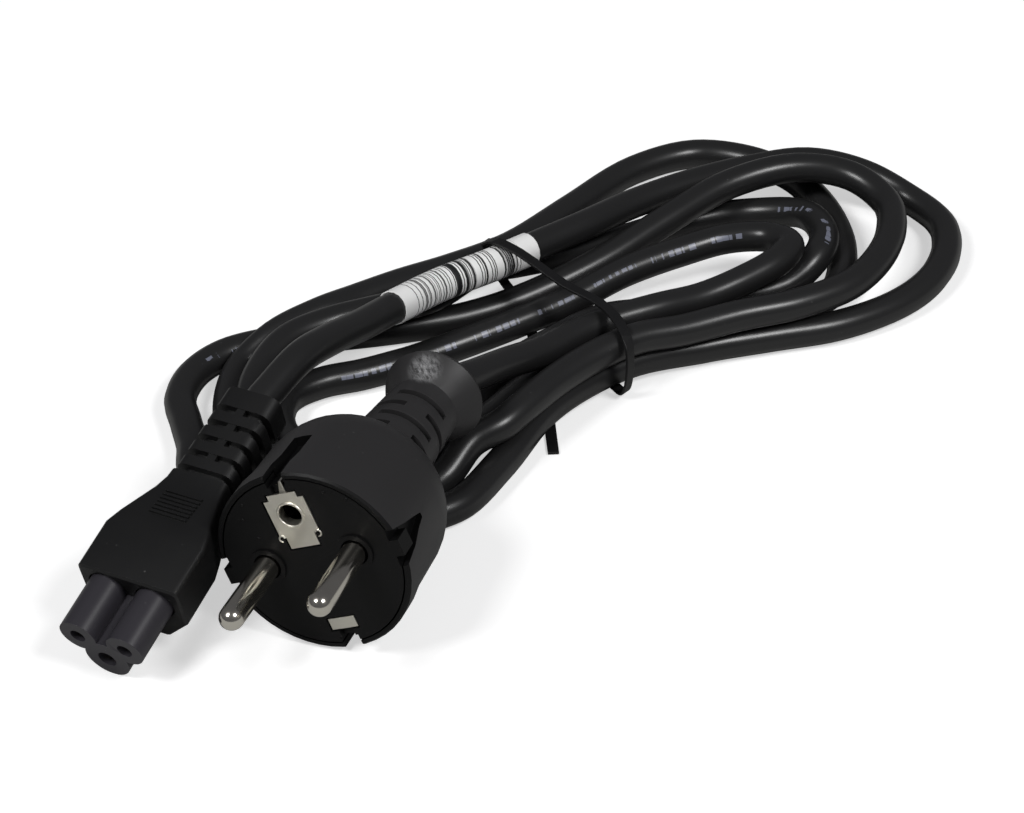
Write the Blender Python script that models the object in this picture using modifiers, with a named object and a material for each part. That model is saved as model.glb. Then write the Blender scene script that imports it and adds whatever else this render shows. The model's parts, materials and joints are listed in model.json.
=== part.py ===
# Cloverleaf power cord: a moulded three-hole connector and a round two-pin earthed plug, joined by
# a black three-core lead that is folded into a loose hank, labelled and tied.
# Units are metres. The hank's long axis is X, Z is up, and everything lies on the plane Z = 0.
# The origin is the bottom centre of the box that holds the plug and the connector.

from math import cos, pi, radians, sin, sqrt

import bmesh
import bpy
from mathutils import Matrix, Vector

MM = 0.001

# Clearance between separate pieces that touch
GAP = 0.3 * MM
ROUND_SIDES = 48

# Lead
CORD_DIAMETER = 6.7 * MM
CORD_SEAT = 3.0 * MM
CORD_PLACE = Vector((-2.0, -3.5, -0.6)) * MM
FLOOR_GAP = 0.05 * MM
LABEL_START = 55.0 * MM
LABEL_LENGTH = 41.0 * MM
LABEL_WALL = 0.3 * MM
TIE_WIDTH = 2.3 * MM
TIE_THICKNESS = 0.6 * MM

# Plug, along its own axis: X is the line of the pins, Y points to the earth socket, Z out of the face
PLUG_RADIUS = 19.2 * MM
PLUG_RIM = 1.1 * MM
PLUG_BARREL_LENGTH = 29.0 * MM
PLUG_SHOULDER_START = 17.0 * MM
PLUG_WAIST_DEPTH = 0.5 * MM
PLUG_SHOULDER_RADIUS = 18.5 * MM
BRIDGE_THICKNESS = 4.0 * MM
PIN_SPACING = 19.0 * MM
PIN_RADIUS = 2.4 * MM
PIN_LENGTH = 19.0 * MM
PIN_SEAT = 3.2 * MM
PIN_COLLAR_WIDTH = 0.9 * MM
PIN_COLLAR_HEIGHT = 0.4 * MM
PIN_LINE_RISE = 0.8 * MM
EARTH_OFFSET = 10.4 * MM
EARTH_SOCKET_RADIUS = 2.3 * MM
EARTH_SOCKET_WALL = 0.35 * MM
EARTH_SOCKET_DEPTH = 12.0 * MM
EARTH_PLATE_WIDTH = 8.6 * MM
EARTH_PLATE_BELOW = 7.0 * MM
EARTH_PLATE_ABOVE = 4.6 * MM
EARTH_PLATE_NOTCH = 1.2 * MM
EARTH_PLATE_THICKNESS = 0.6 * MM
EARTH_PLATE_RECESS = 0.15 * MM
STRIP_STEP = 0.05 * MM
EARTH_TAB_WIDTH = 2.4 * MM
EARTH_TAB_LENGTH = 12.0 * MM
EARTH_CLIP_WIDTH = 5.6 * MM
EARTH_CLIP_HEIGHT = 2.4 * MM
EARTH_CLIP_OFFSET = 13.7 * MM
EARTH_CLIP_LENGTH = 12.0 * MM
EARTH_GROOVE_WIDTH = 4.0 * MM
EARTH_GROOVE_DEPTH = 2.6 * MM
EARTH_GROOVE_LENGTH = 14.5 * MM
GUIDE_GROOVE_WIDTH = 8.0 * MM
GUIDE_GROOVE_DEPTH = 2.0 * MM
GUIDE_GROOVE_LENGTH = 11.0 * MM
GUIDE_LUG_WIDTH = 3.4 * MM
RELIEF_ROOT_RADIUS = 9.4 * MM
RELIEF_WAIST_RADIUS = 7.2 * MM
RELIEF_LENGTH = 21.8 * MM
RELIEF_BEND = (3.2 * MM, 1.2 * MM)
BELL_DEPTH = 3.0 * MM
RELIEF_SLOT_WIDTH = 1.4 * MM
RELIEF_SLOT_DEPTH = 1.6 * MM
RELIEF_SLOT_START = 1.7 * MM
RELIEF_SLOT_PITCH = 3.8 * MM
RELIEF_SLOT_ROWS = 5
RELIEF_SLOTS_ROUND = 3
RELIEF_WEB_ANGLE = radians(34)
FLARE_RADIUS = 10.2 * MM
FLARE_LENGTH = 6.0 * MM
FLARE_RIM = 1.6 * MM

# Connector, along its own axis: X is the line of the two small holes, Y is up, Z out of the nose
NOSE_LENGTH = 11.5 * MM
NOSE_SEAT = 3.0 * MM
HOLE_SPACING = 10.0 * MM
HOLE_DROP = 5.0 * MM
LOBE_RADIUS = 3.8 * MM
EARTH_LOBE_RADIUS = 4.6 * MM
HOLE_RADIUS = 1.55 * MM
EARTH_HOLE_RADIUS = 1.9 * MM
HOLE_DEPTH = 9.5 * MM
CONTACT_INSET = 1.6 * MM
CONTACT_LENGTH = 6.5 * MM
CONTACT_WALL = 0.3 * MM
HEAD_WIDTH = 21.4 * MM
HEAD_HEIGHT = 15.6 * MM
HEAD_SIDE_HEIGHT = 9.7 * MM
HEAD_BOTTOM_WIDTH = 10.8 * MM
HEAD_CORNER = 1.2 * MM
HEAD_FULL_LENGTH = 11.0 * MM
HEAD_TAPER_LENGTH = 16.6 * MM
HEAD_OVER_LOBES = 1.1 * MM
NECK_WIDTH = 12.3 * MM
NECK_HEIGHT = 9.6 * MM
COLLAR_WIDTH = 11.7 * MM
COLLAR_HEIGHT = 9.2 * MM
COLLAR_LENGTH = 4.6 * MM
RIB_PITCH = 3.85 * MM
RIB_THICKNESS = 2.35 * MM
RIB_COUNT = 4
RIB_CORE_INSET = 1.5 * MM
RIB_WEB_WIDTH = 1.8 * MM

# Where the plug and the connector lie, and how they are turned
PLUG_PLACE = (0.2 * MM, -14.1 * MM)
PLUG_HEADING = radians(-39.6)
PLUG_ROLL = radians(24.0)
PLUG_PITCH = radians(1.5)
CONNECTOR_PLACE = (-39.0 * MM, -10.4 * MM)
CONNECTOR_HEADING = radians(-46.0)
CONNECTOR_PITCH = radians(17.5)


def material(name, colour, roughness, metallic=0.0):
    made = bpy.data.materials.new(name)
    made.use_nodes = True
    shader = made.node_tree.nodes["Principled BSDF"]
    shader.inputs["Base Color"].default_value = (*colour, 1.0)
    shader.inputs["Roughness"].default_value = roughness
    shader.inputs["Metallic"].default_value = metallic
    return made


def collection(name):
    made = bpy.data.collections.new(name)
    bpy.context.scene.collection.children.link(made)
    return made


def object_from(bm, name, home, finish=None, parent=None):
    mesh = bpy.data.meshes.new(name)
    bmesh.ops.recalc_face_normals(bm, faces=bm.faces)
    bm.to_mesh(mesh)
    bm.free()
    made = bpy.data.objects.new(name, mesh)
    home.objects.link(made)
    made.parent = parent
    if finish:
        mesh.materials.append(finish)
        mesh.shade_smooth()
        mesh.set_sharp_from_angle(angle=radians(35))
    return made


def cutter(bm, name, parent):
    made = object_from(bm, name, cutters, parent=parent)
    made.hide_render = True
    made.display_type = "WIRE"
    return made


def combine(target, other, operation):
    step = target.modifiers.new(f"{operation.lower()} {other.name}", "BOOLEAN")
    step.operation = operation
    step.object = other


def box(low, high):
    bm = bmesh.new()
    bmesh.ops.create_cube(bm, size=1.0)
    low, high = Vector(low), Vector(high)
    size, middle = high - low, (low + high) / 2
    bmesh.ops.scale(bm, verts=bm.verts, vec=size)
    bmesh.ops.translate(bm, verts=bm.verts, vec=middle)
    return bm


def cylinder(radius, low, high, x=0.0, y=0.0, sides=ROUND_SIDES):
    bm = bmesh.new()
    bmesh.ops.create_cone(
        bm, cap_ends=True, segments=sides, radius1=radius, radius2=radius, depth=high - low,
        matrix=Matrix.Translation((x, y, (low + high) / 2)),
    )
    return bm


def prism(outline, low, high):
    """Extrude a flat outline in the XY plane."""
    bm = bmesh.new()
    face = bm.faces.new([bm.verts.new((x, y, low)) for x, y in outline])
    raised = bmesh.ops.extrude_face_region(bm, geom=[face])["geom"]
    corners = [item for item in raised if isinstance(item, bmesh.types.BMVert)]
    bmesh.ops.translate(bm, verts=corners, vec=(0, 0, high - low))
    return bm


def tube(inner, outer, low, high, x, y, sides=24):
    bm = bmesh.new()
    corners = [bm.verts.new((radius, 0, z)) for radius, z in ((inner, low), (outer, low), (outer, high), (inner, high))]
    for i in range(4):
        bm.edges.new((corners[i - 1], corners[i]))
    bmesh.ops.spin(
        bm, geom=bm.verts[:] + bm.edges[:], cent=(0, 0, 0), axis=(0, 0, 1), angle=2 * pi, steps=sides,
        use_merge=True,
    )
    bmesh.ops.translate(bm, verts=bm.verts, vec=(x, y, 0))
    return bm


def turned(profile, sides=ROUND_SIDES):
    """Turn a profile of (radius, z) points, from its top on the axis down its outer side, about Z."""
    bm = bmesh.new()
    points = [bm.verts.new((radius, 0, z)) for radius, z in profile]
    for start, end in zip(points, points[1:]):
        bm.edges.new((start, end))
    bmesh.ops.spin(
        bm, geom=bm.verts[:] + bm.edges[:], cent=(0, 0, 0), axis=(0, 0, 1), angle=2 * pi, steps=sides,
        use_merge=True,
    )
    bmesh.ops.remove_doubles(bm, verts=bm.verts, dist=0.001 * MM)
    return bm


def loft(rings):
    """Skin a row of rings that have the same number of points, and cap its two ends."""
    bm = bmesh.new()
    rows = [[bm.verts.new(point) for point in ring] for ring in rings]
    count = len(rows[0])
    for lower, upper in zip(rows, rows[1:]):
        for i in range(count):
            j = (i + 1) % count
            bm.faces.new((lower[i], lower[j], upper[j], upper[i]))
    bm.faces.new(rows[0][::-1])
    bm.faces.new(rows[-1])
    return bm


def arc(centre, radius, start, end, steps=3):
    """Points on an arc in the XY plane, its angles in degrees."""
    angles = [radians(start + (end - start) * i / steps) for i in range(steps + 1)]
    return [(centre[0] + radius * cos(a), centre[1] + radius * sin(a)) for a in angles]


def rounded_rectangle(width, height, corner):
    x, y = width / 2 - corner, height / 2 - corner
    return (
        arc((x, -y), corner, -90, 0) + arc((x, y), corner, 0, 90)
        + arc((-x, y), corner, 90, 180) + arc((-x, -y), corner, 180, 270)
    )


def at(outline, z):
    return [(x, y, z) for x, y in outline]


# Scene and finishes

for old in list(bpy.data.objects):
    bpy.data.objects.remove(old, do_unlink=True)

parts = collection("cloverleaf_power_cord")
cutters = collection("cutters")

black_pvc = material("black pvc", (0.020, 0.020, 0.021), 0.55)
soft_grey_pvc = material("plug pvc", (0.036, 0.034, 0.036), 0.6)
dark_insert = material("nose insert", (0.045, 0.042, 0.050), 0.45)
carrier_plastic = material("pin carrier", (0.008, 0.008, 0.009), 0.45)
nickel = material("nickel", (0.72, 0.69, 0.62), 0.22, 1.0)
plated_steel = material("plated strip", (0.66, 0.65, 0.60), 0.4, 1.0)
brass = material("brass", (0.78, 0.60, 0.28), 0.35, 1.0)
label_paper = material("label", (0.82, 0.82, 0.80), 0.5)
tie_plastic = material("tie", (0.022, 0.022, 0.022), 0.5)

plug_axis = bpy.data.objects.new("plug_axis", None)
parts.objects.link(plug_axis)
plug_axis.location = (*PLUG_PLACE, PLUG_RADIUS + PLUG_SHOULDER_START * sin(PLUG_PITCH))
plug_axis.rotation_euler = (
    Matrix.Rotation(PLUG_HEADING, 3, "Z") @ Matrix.Rotation(pi / 2 - PLUG_PITCH, 3, "X")
    @ Matrix.Rotation(PLUG_ROLL, 3, "Z")
).to_euler()

connector_axis = bpy.data.objects.new("connector_axis", None)
parts.objects.link(connector_axis)
nose_bottom = HOLE_DROP / 2 + EARTH_LOBE_RADIUS
connector_axis.location = (*CONNECTOR_PLACE, nose_bottom * cos(CONNECTOR_PITCH))
connector_axis.rotation_euler = (
    Matrix.Rotation(CONNECTOR_HEADING, 3, "Z") @ Matrix.Rotation(pi / 2 + CONNECTOR_PITCH, 3, "X")
).to_euler()


# Plug body: barrel, slotted relief and trumpet flare in one overmoulding

def bend(bm):
    """The relief leans towards the line pin and up, more and more along its length."""
    for vertex in bm.verts:
        along = max(0.0, -vertex.co.z - PLUG_BARREL_LENGTH) / (RELIEF_LENGTH + FLARE_LENGTH)
        vertex.co.x += RELIEF_BEND[0] * along**1.5
        vertex.co.y += RELIEF_BEND[1] * along**1.5
    return bm


def shoulder(along):
    """Radius of the barrel's rounded rear, from its start at 0 to the relief's root at 1."""
    root = RELIEF_ROOT_RADIUS + 0.9 * MM
    return root + (PLUG_SHOULDER_RADIUS - root) * sqrt(max(0.0, 1 - along**2.2))


def relief_radius(along):
    return RELIEF_ROOT_RADIUS + (RELIEF_WAIST_RADIUS - RELIEF_ROOT_RADIUS) * along**0.8


relief_end = -PLUG_BARREL_LENGTH - RELIEF_LENGTH
flare_end = relief_end - FLARE_LENGTH
shoulder_length = PLUG_BARREL_LENGTH - PLUG_SHOULDER_START
edge = 0.4 * MM
pocket_radius = PLUG_RADIUS - PLUG_RIM
pocket_floor = -BRIDGE_THICKNESS - GAP
seat_radius = CORD_DIAMETER / 2 + GAP
seat_end = flare_end + BELL_DEPTH + CORD_SEAT
plug_profile = [
    (0, pocket_floor), (pocket_radius, pocket_floor), (pocket_radius, 0), (PLUG_RADIUS - edge, 0), (PLUG_RADIUS, -edge), (PLUG_RADIUS, -4.5 * MM),
    (PLUG_RADIUS - PLUG_WAIST_DEPTH, -8.5 * MM),
]
plug_profile += [(shoulder(i / 7), -PLUG_SHOULDER_START - shoulder_length * i / 7) for i in range(8)]
plug_profile += [(relief_radius(i / 6), -PLUG_BARREL_LENGTH - edge - RELIEF_LENGTH * i / 6) for i in range(7)]
plug_profile += [
    (RELIEF_WAIST_RADIUS + 0.16 * FLARE_RADIUS, relief_end - 0.43 * FLARE_LENGTH),
    (FLARE_RADIUS - edge, flare_end + FLARE_RIM),
    (FLARE_RADIUS, flare_end + FLARE_RIM / 2),
    (FLARE_RADIUS - edge, flare_end),
    (FLARE_RADIUS - FLARE_RIM, flare_end),
    (seat_radius, flare_end + BELL_DEPTH),
    (seat_radius, seat_end),
    (0, seat_end),
]
plug_body = object_from(bend(turned(plug_profile)), "plug_body", parts, soft_grey_pvc, plug_axis)


relief_slots = bmesh.new()
slot_sweep = 2 * pi / RELIEF_SLOTS_ROUND - RELIEF_WEB_ANGLE
for row in range(RELIEF_SLOT_ROWS):
    start = RELIEF_SLOT_START + RELIEF_SLOT_PITCH * row
    inner = relief_radius(start / RELIEF_LENGTH) - RELIEF_SLOT_DEPTH
    top = -PLUG_BARREL_LENGTH - start
    corners = [(inner, top - RELIEF_SLOT_WIDTH), (PLUG_RADIUS, top - RELIEF_SLOT_WIDTH), (PLUG_RADIUS, top), (inner, top)]
    for i in range(RELIEF_SLOTS_ROUND):
        turn = 2 * pi * (i + row % 2 / 2) / RELIEF_SLOTS_ROUND
        slot = bmesh.new()
        slot.faces.new([slot.verts.new((x, 0, z)) for x, z in corners])
        bmesh.ops.spin(
            slot, geom=slot.verts[:] + slot.edges[:] + slot.faces[:], cent=(0, 0, 0), axis=(0, 0, 1),
            angle=slot_sweep, steps=8,
        )
        bmesh.ops.rotate(slot, verts=slot.verts, cent=(0, 0, 0), matrix=Matrix.Rotation(turn, 3, "Z"))
        block = bpy.data.meshes.new("slot")
        slot.to_mesh(block)
        slot.free()
        relief_slots.from_mesh(block)
        bpy.data.meshes.remove(block)
combine(plug_body, cutter(bend(relief_slots), "relief_slots", plug_axis), "DIFFERENCE")

groove_floor = PLUG_RADIUS - EARTH_GROOVE_DEPTH
clear = PLUG_RADIUS + 1 * MM
grooves = []
for side in (-1, 1):
    low, high = sorted((side * groove_floor, side * clear))
    groove = box((-EARTH_GROOVE_WIDTH / 2, low, -EARTH_GROOVE_LENGTH), (EARTH_GROOVE_WIDTH / 2, high, edge))
    grooves.append(cutter(groove, "earth_groove", plug_axis))
    low, high = sorted((side * (PLUG_RADIUS - GUIDE_GROOVE_DEPTH), side * clear))
    wide, narrow = GUIDE_GROOVE_WIDTH / 2, GUIDE_GROOVE_WIDTH / 16
    groove = loft([
        [(low, -half, z), (high, -half, z), (high, half, z), (low, half, z)]
        for half, z in ((narrow, -GUIDE_GROOVE_LENGTH), (wide, edge))
    ])
    grooves.append(cutter(groove, "guide_groove", plug_axis))
for groove in grooves:
    combine(plug_body, groove, "DIFFERENCE")

socket_outer = EARTH_SOCKET_RADIUS + EARTH_SOCKET_WALL
earth_bore = cylinder(socket_outer + GAP, -EARTH_SOCKET_DEPTH - GAP, edge, y=EARTH_OFFSET)
earth_bore = cutter(earth_bore, "earth_bore", plug_axis)
combine(plug_body, earth_bore, "DIFFERENCE")


# Pin carrier: the black disc that is the plug's face, keyed into the body by a lug on each side

carrier_radius = pocket_radius - GAP
plug_bridge = object_from(
    cylinder(carrier_radius, -BRIDGE_THICKNESS, 0), "plug_bridge", parts, carrier_plastic, plug_axis
)
for groove in grooves:
    combine(plug_bridge, groove, "DIFFERENCE")
lug_root = PLUG_RADIUS - GUIDE_GROOVE_DEPTH - 1 * MM
for side in (-1, 1):
    low, high = sorted((side * lug_root, side * (PLUG_RADIUS - GAP / 2)))
    lug = box((low, -GUIDE_LUG_WIDTH / 2, -BRIDGE_THICKNESS), (high, GUIDE_LUG_WIDTH / 2, 0))
    combine(plug_bridge, cutter(lug, "guide_lug", plug_axis), "UNION")
for side in (-1, 1):
    x = side * PIN_SPACING / 2
    collar = cylinder(PIN_RADIUS + GAP + PIN_COLLAR_WIDTH, -edge, PIN_COLLAR_HEIGHT, x=x, y=PIN_LINE_RISE)
    combine(plug_bridge, cutter(collar, "pin_collar", plug_axis), "UNION")
    pin_hole = cylinder(PIN_RADIUS + GAP, -PIN_SEAT - GAP, 1 * MM, x=x, y=PIN_LINE_RISE)
    combine(plug_bridge, cutter(pin_hole, "pin_hole", plug_axis), "DIFFERENCE")
combine(plug_bridge, earth_bore, "DIFFERENCE")


# Pins: solid rods with domed tips

pin_dome = [(PIN_RADIUS * sin(a), PIN_LENGTH - PIN_RADIUS * (1 - cos(a))) for a in (pi / 2 * i / 6 for i in range(7))]
for side, name in ((1, "pin_line"), (-1, "pin_neutral")):
    pin = turned(pin_dome + [(PIN_RADIUS, -PIN_SEAT), (0, -PIN_SEAT)], sides=32)
    object_from(pin, name, parts, nickel, plug_axis).location = (side * PIN_SPACING / 2, PIN_LINE_RISE, 0)


# Earth contacts: a stamped plate with the socket for the earth pin and a spring in the upper groove,
# and a plain clip with its spring in the lower one

def plate_outline(margin):
    half = EARTH_PLATE_WIDTH / 2 + margin
    above, below = EARTH_PLATE_ABOVE + margin, EARTH_PLATE_BELOW + margin
    step = 0.6 * EARTH_PLATE_BELOW + margin
    right = [
        (half - EARTH_PLATE_NOTCH, -below), (half - EARTH_PLATE_NOTCH, -step), (half, -step),
        (half, above - EARTH_PLATE_NOTCH), (half - EARTH_PLATE_NOTCH, above - EARTH_PLATE_NOTCH),
        (half - EARTH_PLATE_NOTCH, above),
    ]
    outline = right + [(-x, y) for x, y in reversed(right)]
    return [(x, y + EARTH_OFFSET) for x, y in outline]


plate_front = -EARTH_PLATE_RECESS
plate_back = plate_front - EARTH_PLATE_THICKNESS
spring_half = EARTH_TAB_WIDTH / 2
spring_inner = groove_floor + GAP
spring_outer = spring_inner + EARTH_PLATE_THICKNESS
clip_edge = EARTH_CLIP_OFFSET - EARTH_CLIP_HEIGHT / 2

earth_plate = object_from(
    prism(plate_outline(0), plate_back, plate_front), "earth_plate", parts, plated_steel, plug_axis
)
earth_clip = object_from(
    box((-EARTH_CLIP_WIDTH / 2, -clip_edge - EARTH_CLIP_HEIGHT, plate_back), (EARTH_CLIP_WIDTH / 2, -clip_edge, plate_front)),
    "earth_clip", parts, plated_steel, plug_axis,
)
springs = ((earth_plate, 1, EARTH_OFFSET), (earth_clip, -1, EARTH_CLIP_OFFSET))
for owner, side, reach in springs:
    inner, outer = side * spring_inner, side * spring_outer
    bent_strip = [
        (side * reach, plate_back + STRIP_STEP), (side * reach, plate_front - STRIP_STEP),
        (outer, plate_front - STRIP_STEP), (outer, -EARTH_TAB_LENGTH), (inner, -EARTH_TAB_LENGTH),
        (inner, plate_back + STRIP_STEP),
    ]
    strip = loft([[(x, y, z) for y, z in bent_strip] for x in (-spring_half, spring_half)])
    combine(owner, cutter(strip, "bent_strip", plug_axis), "UNION")
    low, high = sorted((side * reach, side * clear))
    recess = box((-spring_half - GAP, low, plate_back - GAP), (spring_half + GAP, high, edge))
    combine(plug_bridge, cutter(recess, "strap_recess", plug_axis), "DIFFERENCE")
socket = cylinder(socket_outer, -EARTH_SOCKET_DEPTH, plate_front - STRIP_STEP, y=EARTH_OFFSET, sides=32)
combine(earth_plate, cutter(socket, "socket_wall", plug_axis), "UNION")
socket_bore = cylinder(EARTH_SOCKET_RADIUS, -EARTH_SOCKET_DEPTH - edge, edge, y=EARTH_OFFSET, sides=32)
combine(earth_plate, cutter(socket_bore, "socket_bore", plug_axis), "DIFFERENCE")
plate_recess = prism(plate_outline(GAP), plate_back - GAP, edge)
combine(plug_bridge, cutter(plate_recess, "plate_recess", plug_axis), "DIFFERENCE")
clip_half = EARTH_CLIP_WIDTH / 2 + GAP
clip_recess = box(
    (-clip_half, -clip_edge - EARTH_CLIP_HEIGHT - GAP, plate_back - GAP), (clip_half, -clip_edge + GAP, edge)
)
combine(plug_bridge, cutter(clip_recess, "clip_recess", plug_axis), "DIFFERENCE")


# Connector body: head, neck and slotted relief in one overmoulding

head_top = HOLE_DROP / 2 + LOBE_RADIUS + HEAD_OVER_LOBES


def head_outline(along, inset=0.0):
    """Section of the head, from its full shape at 0 to the neck's rounded block at 1."""
    def between(full, neck):
        return full + (neck - full) * along

    half = between(HEAD_WIDTH / 2, NECK_WIDTH / 2) - inset
    top = between(head_top, NECK_HEIGHT / 2) - inset
    side_bottom = between(head_top - HEAD_SIDE_HEIGHT, 1.5 * MM - NECK_HEIGHT / 2)
    bottom_half = between(HEAD_BOTTOM_WIDTH / 2, NECK_WIDTH / 2 - 1.5 * MM) - inset
    bottom = between(head_top - HEAD_HEIGHT, -NECK_HEIGHT / 2) + inset
    x, y = half - HEAD_CORNER, top - HEAD_CORNER
    return (
        [(-bottom_half, bottom), (bottom_half, bottom), (half, side_bottom)]
        + arc((x, y), HEAD_CORNER, 0, 90) + arc((-x, y), HEAD_CORNER, 90, 180)
        + [(-half, side_bottom)]
    )


kink = -NOSE_LENGTH - HEAD_FULL_LENGTH
head_end = kink - HEAD_TAPER_LENGTH
head_rings = [
    at(head_outline(1), head_end), at(head_outline(0.97), head_end + 0.12 * HEAD_TAPER_LENGTH),
    at(head_outline(0.82), head_end + 0.3 * HEAD_TAPER_LENGTH),
    at(head_outline(0.52), head_end + 0.54 * HEAD_TAPER_LENGTH),
    at(head_outline(0.22), head_end + 0.78 * HEAD_TAPER_LENGTH),
    at(head_outline(0), kink), at(head_outline(0), -NOSE_LENGTH - edge), at(head_outline(0, edge), -NOSE_LENGTH),
]
connector_body = object_from(loft(head_rings), "connector_body", parts, black_pvc, connector_axis)

rib_slot = RIB_PITCH - RIB_THICKNESS
ribs_end = head_end - RIB_COUNT * RIB_PITCH - rib_slot
collar_end = ribs_end - COLLAR_LENGTH


def relief_block(low, high, inset, corner):
    """A rounded block of the relief, whose section shrinks evenly from the neck to the collar."""
    rings = []
    for z in (low, high):
        along = (head_end - z) / (head_end - collar_end)
        width = NECK_WIDTH + (COLLAR_WIDTH - NECK_WIDTH) * along - 2 * inset
        height = NECK_HEIGHT + (COLLAR_HEIGHT - NECK_HEIGHT) * along - 2 * inset
        rings.append(at(rounded_rectangle(width, height, corner), z))
    return loft(rings)


core = relief_block(ribs_end - edge, head_end + edge, RIB_CORE_INSET, 1.4 * MM)
combine(connector_body, cutter(core, "relief_core", connector_axis), "UNION")
web_half = RIB_WEB_WIDTH / 2
web_height = min(NECK_HEIGHT, COLLAR_HEIGHT) / 2 - 0.1 * MM
web = box((-web_half, -web_height, ribs_end - edge), (web_half, web_height, head_end - rib_slot - edge))
combine(connector_body, cutter(web, "relief_web", connector_axis), "UNION")
blocks = [(ribs_end, COLLAR_LENGTH)] + [(head_end - rib_slot - RIB_PITCH * i, RIB_THICKNESS) for i in range(RIB_COUNT)]
for top, thickness in blocks:
    rib = relief_block(top - thickness, top, 0, 2.2 * MM)
    combine(connector_body, cutter(rib, "relief_rib", connector_axis), "UNION")
connector_seat = cylinder(seat_radius, collar_end - edge, collar_end + CORD_SEAT)
combine(connector_body, cutter(connector_seat, "connector_cord_seat", connector_axis), "DIFFERENCE")


# Nose: the three-lobed insert, seated in the head, with a brass sleeve in each hole

lobes = (
    ("line", HOLE_SPACING / 2, HOLE_DROP / 2, LOBE_RADIUS, HOLE_RADIUS),
    ("neutral", -HOLE_SPACING / 2, HOLE_DROP / 2, LOBE_RADIUS, HOLE_RADIUS),
    ("earth", 0, -HOLE_DROP / 2, EARTH_LOBE_RADIUS, EARTH_HOLE_RADIUS),
)
nose_end = -NOSE_LENGTH - NOSE_SEAT
nose = None
for name, x, y, lobe, hole in lobes:
    socket = cylinder(lobe + GAP, nose_end - GAP, 0, x=x, y=y)
    combine(connector_body, cutter(socket, f"nose_seat_{name}", connector_axis), "DIFFERENCE")
    solid = cylinder(lobe, nose_end, 0, x=x, y=y)
    if nose is None:
        nose = object_from(solid, "connector_nose", parts, dark_insert, connector_axis)
    else:
        combine(nose, cutter(solid, f"lobe_{name}", connector_axis), "UNION")
for name, x, y, lobe, hole in lobes:
    bore = cylinder(hole, -HOLE_DEPTH, edge, x=x, y=y, sides=24)
    combine(nose, cutter(bore, f"hole_{name}", connector_axis), "DIFFERENCE")
    outer = hole - GAP
    sleeve = tube(outer - CONTACT_WALL, outer, -CONTACT_INSET - CONTACT_LENGTH, -CONTACT_INSET, x, y)
    object_from(sleeve, f"contact_{name}", parts, brass, connector_axis)


# Lead: a hank of four and a half turns from the connector to the plug. The route was chosen by hand, in
# whole millimetres from CORD_PLACE, and its two ends are read from the seats in the mouldings.

CORD_ROUTE = [
    # Out of the connector, through the label and round the outermost fold
    (16, 43, 28), (24, 50, 26), (34, 59, 22), (43, 67, 19), (56, 75, 17), (69, 80, 16),
    (80, 85, 15), (94, 91, 14), (109, 99, 12), (124, 104, 11), (140, 107, 10), (154, 104, 11), (165, 98, 9),
    (173, 91, 5), (176, 80, 4), (172, 69, 4), (163, 59, 4), (152, 53, 4), (137, 50, 4), (122, 51, 4),
    (106, 52, 4), (91, 51, 5), (78, 47, 5), (66, 40, 5), (53, 28, 4), (41, 18, 4), (34, 16, 4), (27, 15, 4),
    (19, 17, 4), (11, 21, 4), (3, 27, 4), (-3, 35, 4), (-6, 45, 4), (-4, 54, 4),
    # Second turn, whose left fold is the one farthest out
    (-3, 63, 4), (-2, 71, 4), (3, 79, 4), (11, 84, 4), (21, 85, 4), (34, 83, 4), (48, 81, 4), (62, 80, 4),
    (76, 81, 5), (96, 85, 8), (115, 92, 11), (132, 98, 13), (148, 98, 14), (159, 92, 13), (163, 82, 11),
    (159, 71, 11), (151, 61, 11), (141, 54, 11), (128, 51, 11), (114, 51, 11), (101, 50, 11), (90, 49, 12),
    (80, 46, 12), (70, 41, 12), (61, 35, 12), (54, 31, 11), (47, 30, 9), (40, 26, 5), (32, 23, 4), (24, 23, 4),
    (15, 27, 4), (7, 33, 4), (2, 41, 4), (2, 50, 4), (5, 59, 4),
    # Third turn
    (8, 69, 4), (13, 77, 5), (21, 80, 9), (31, 82, 11), (41, 86, 10), (52, 90, 9), (65, 95, 7), (81, 102, 5),
    (102, 115, 4), (120, 125, 4), (136, 127, 4), (147, 120, 4), (153, 109, 4), (154, 92, 4), (150, 76, 4),
    (141, 62, 4), (127, 59, 4), (110, 60, 4), (94, 60, 5), (80, 56, 5), (66, 49, 5), (54, 42, 4), (46, 37, 4),
    (39, 33, 4), (32, 31, 4), (24, 31, 4), (16, 35, 4), (10, 41, 5), (8, 49, 8),
    # Fourth turn
    (10, 58, 11), (15, 66, 12), (22, 72, 13), (31, 75, 13), (43, 76, 13), (56, 80, 11), (69, 88, 10),
    (80, 91, 8), (93, 94, 6), (108, 98, 4), (124, 100, 4), (137, 97, 5), (146, 88, 8), (146, 78, 9),
    (141, 70, 9), (132, 67, 5), (118, 68, 4), (103, 68, 4), (90, 68, 5), (76, 63, 5), (62, 56, 5), (50, 48, 4),
    (41, 43, 4), (34, 39, 4), (26, 38, 4), (19, 42, 4), (15, 49, 4), (15, 57, 4),
    # Innermost half turn and into the plug
    (19, 64, 4), (27, 67, 4), (36, 67, 4), (46, 68, 4), (57, 69, 5), (70, 71, 6), (84, 74, 7), (99, 78, 9),
    (113, 80, 10), (124, 80, 11), (132, 76, 12), (134, 70, 13), (129, 65, 13), (120, 62, 12), (109, 60, 11),
    (98, 58, 12), (83, 56, 12), (70, 50, 13), (59, 44, 16), (50, 38, 19), (43, 34, 21),
]
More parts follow.
